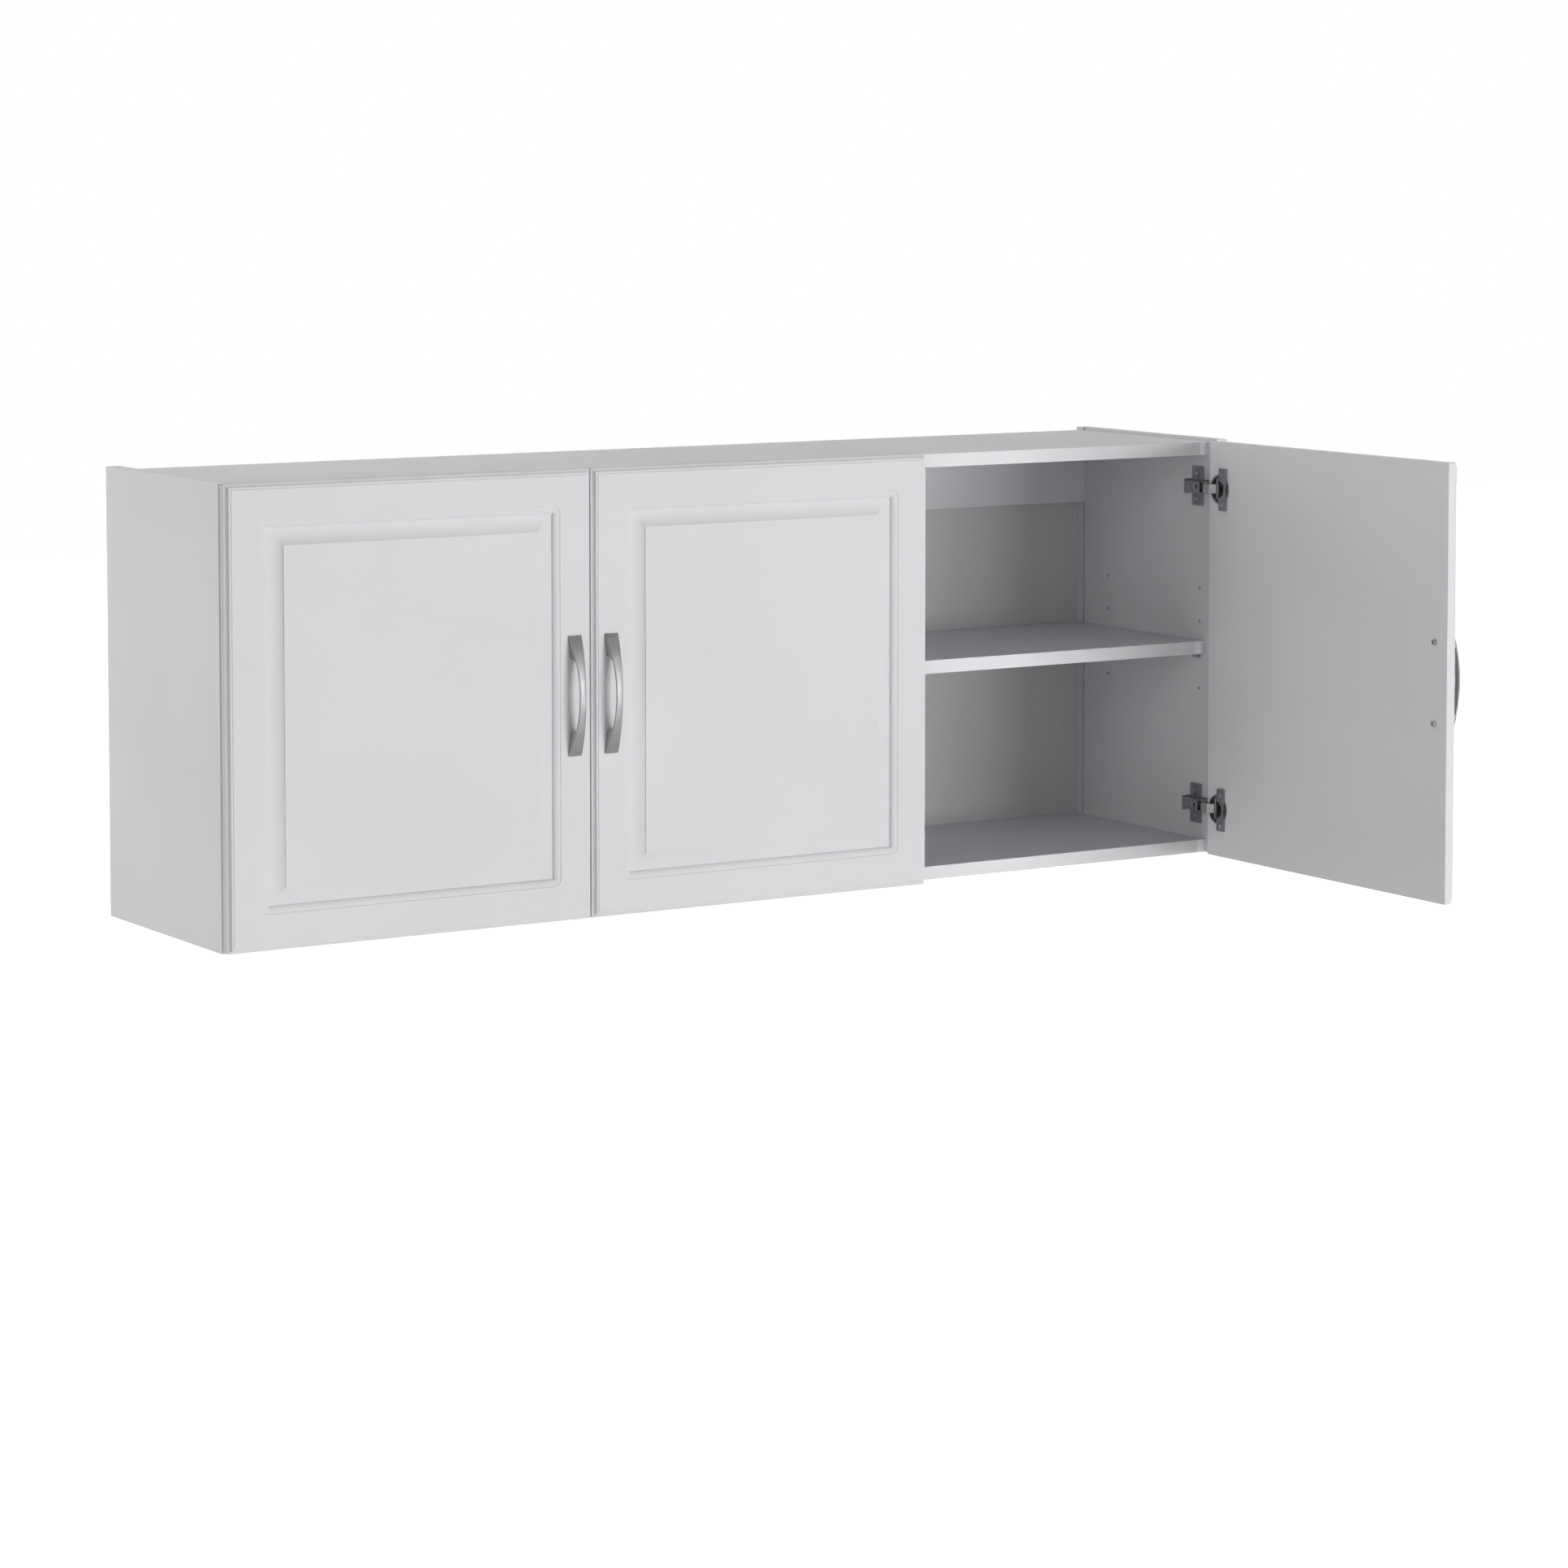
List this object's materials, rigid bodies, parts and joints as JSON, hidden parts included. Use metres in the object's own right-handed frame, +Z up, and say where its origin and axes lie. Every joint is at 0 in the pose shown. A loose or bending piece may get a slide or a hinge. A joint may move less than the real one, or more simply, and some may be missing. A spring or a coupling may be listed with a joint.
{
  "type": "hanging wall cabinet",
  "caption": "Wide hanging wall cabinet with moulded doors on concealed hinges, adjustable shelves, bow handles and a rear hanging rail.",
  "frame": {"origin": "centre of the cabinet's back face, on the wall it hangs on", "axes": "+X to the viewer's right, +Y into the wall, +Z up; the doors are at -Y"},
  "size_m": [1.387, 0.762, 0.52],
  "materials": {
    "door_paint": "satin grey-white foil",
    "board_melamine": "fine-grained light grey melamine",
    "back_board": "printed light grey hardboard",
    "satin_nickel": "satin nickel",
    "dark_nickel": "dark nickel plate",
    "bright_zinc": "bright zinc plate",
    "zinc_steel": "zinc-plated steel",
    "cast_zinc": "cast zinc",
    "beech": "bare beech"
  },
  "bodies": {
    "carcass": {"side_panel_left": "board_melamine", "side_panel_right": "board_melamine", "top_panel": "board_melamine", "bottom_panel": "board_melamine", "partition": "board_melamine", "back_panel_left": "back_board", "back_panel_right": "back_board", "back_nails": "zinc_steel", "hanging_rail_left": "board_melamine", "hanging_rail_right": "board_melamine", "shelf_left": "board_melamine", "shelf_right": "board_melamine", "shelf_pins_left": "zinc_steel", "shelf_pins_right": "zinc_steel", "cam_locks": "cast_zinc", "cam_bolts": "zinc_steel", "wood_dowels": "beech", "hinge_plates_left": "dark_nickel", "hinge_plates_middle": "dark_nickel", "hinge_plates_right": "dark_nickel", "plate_screws_left": "zinc_steel", "plate_screws_middle": "zinc_steel", "plate_screws_right": "zinc_steel", "hinge_arms_left": "dark_nickel", "hinge_arms_middle": "dark_nickel", "hinge_arms_right": "dark_nickel", "arm_screws_left": "zinc_steel", "arm_screws_middle": "zinc_steel", "arm_screws_right": "zinc_steel", "arm_pins_left": "zinc_steel", "arm_pins_middle": "zinc_steel", "arm_pins_right": "zinc_steel"},
    "link_left": {"hinge_links_left": "bright_zinc"},
    "door_left": {"door_left": "door_paint", "handle_left": "satin_nickel", "handle_screws_left": "zinc_steel", "hinge_cups_left": "dark_nickel", "cup_pins_left": "zinc_steel", "cup_screws_left": "zinc_steel"},
    "link_middle": {"hinge_links_middle": "bright_zinc"},
    "door_middle": {"door_middle": "door_paint", "handle_middle": "satin_nickel", "handle_screws_middle": "zinc_steel", "hinge_cups_middle": "dark_nickel", "cup_pins_middle": "zinc_steel", "cup_screws_middle": "zinc_steel"},
    "link_right": {"hinge_links_right": "bright_zinc"},
    "door_right": {"door_right": "door_paint", "handle_right": "satin_nickel", "handle_screws_right": "zinc_steel", "hinge_cups_right": "dark_nickel", "cup_pins_right": "zinc_steel", "cup_screws_right": "zinc_steel"}
  },
  "joints": [
    {"name": "link_swing_left", "type": "hinge", "parent": "carcass", "child": "link_left", "pos_m": [-0.66241, -0.29353, 0], "axis": [0, 0, 1], "range_deg": [-3, 53.58]},
    {"name": "door_swing_left", "type": "hinge", "parent": "link_left", "child": "door_left", "pos_m": [-0.679, -0.3057, 0], "axis": [0, 0, 1], "range_deg": [-145.58, 0]},
    {"name": "link_swing_middle", "type": "hinge", "parent": "carcass", "child": "link_middle", "pos_m": [0.20241, -0.29353, 0], "axis": [0, 0, 1], "range_deg": [-53.58, 3]},
    {"name": "door_swing_middle", "type": "hinge", "parent": "link_middle", "child": "door_middle", "pos_m": [0.219, -0.3057, 0], "axis": [0, 0, 1], "range_deg": [0, 145.58]},
    {"name": "link_swing_right", "type": "hinge", "parent": "carcass", "child": "link_right", "pos_m": [0.66241, -0.29353, 0], "axis": [0, 0, 1], "range_deg": [-5.66, 50.92]},
    {"name": "door_swing_right", "type": "hinge", "parent": "link_right", "child": "door_right", "pos_m": [0.6645, -0.314, 0], "axis": [0, 0, 1], "range_deg": [-137.92, 7.66]}
  ],
  "couplings": [
    {"joint": "link_swing_left", "follows": "door_swing_left", "ratio": -0.34743},
    {"joint": "link_swing_middle", "follows": "door_swing_middle", "ratio": -0.34743},
    {"joint": "link_swing_right", "follows": "door_swing_right", "ratio": -0.34743}
  ]
}
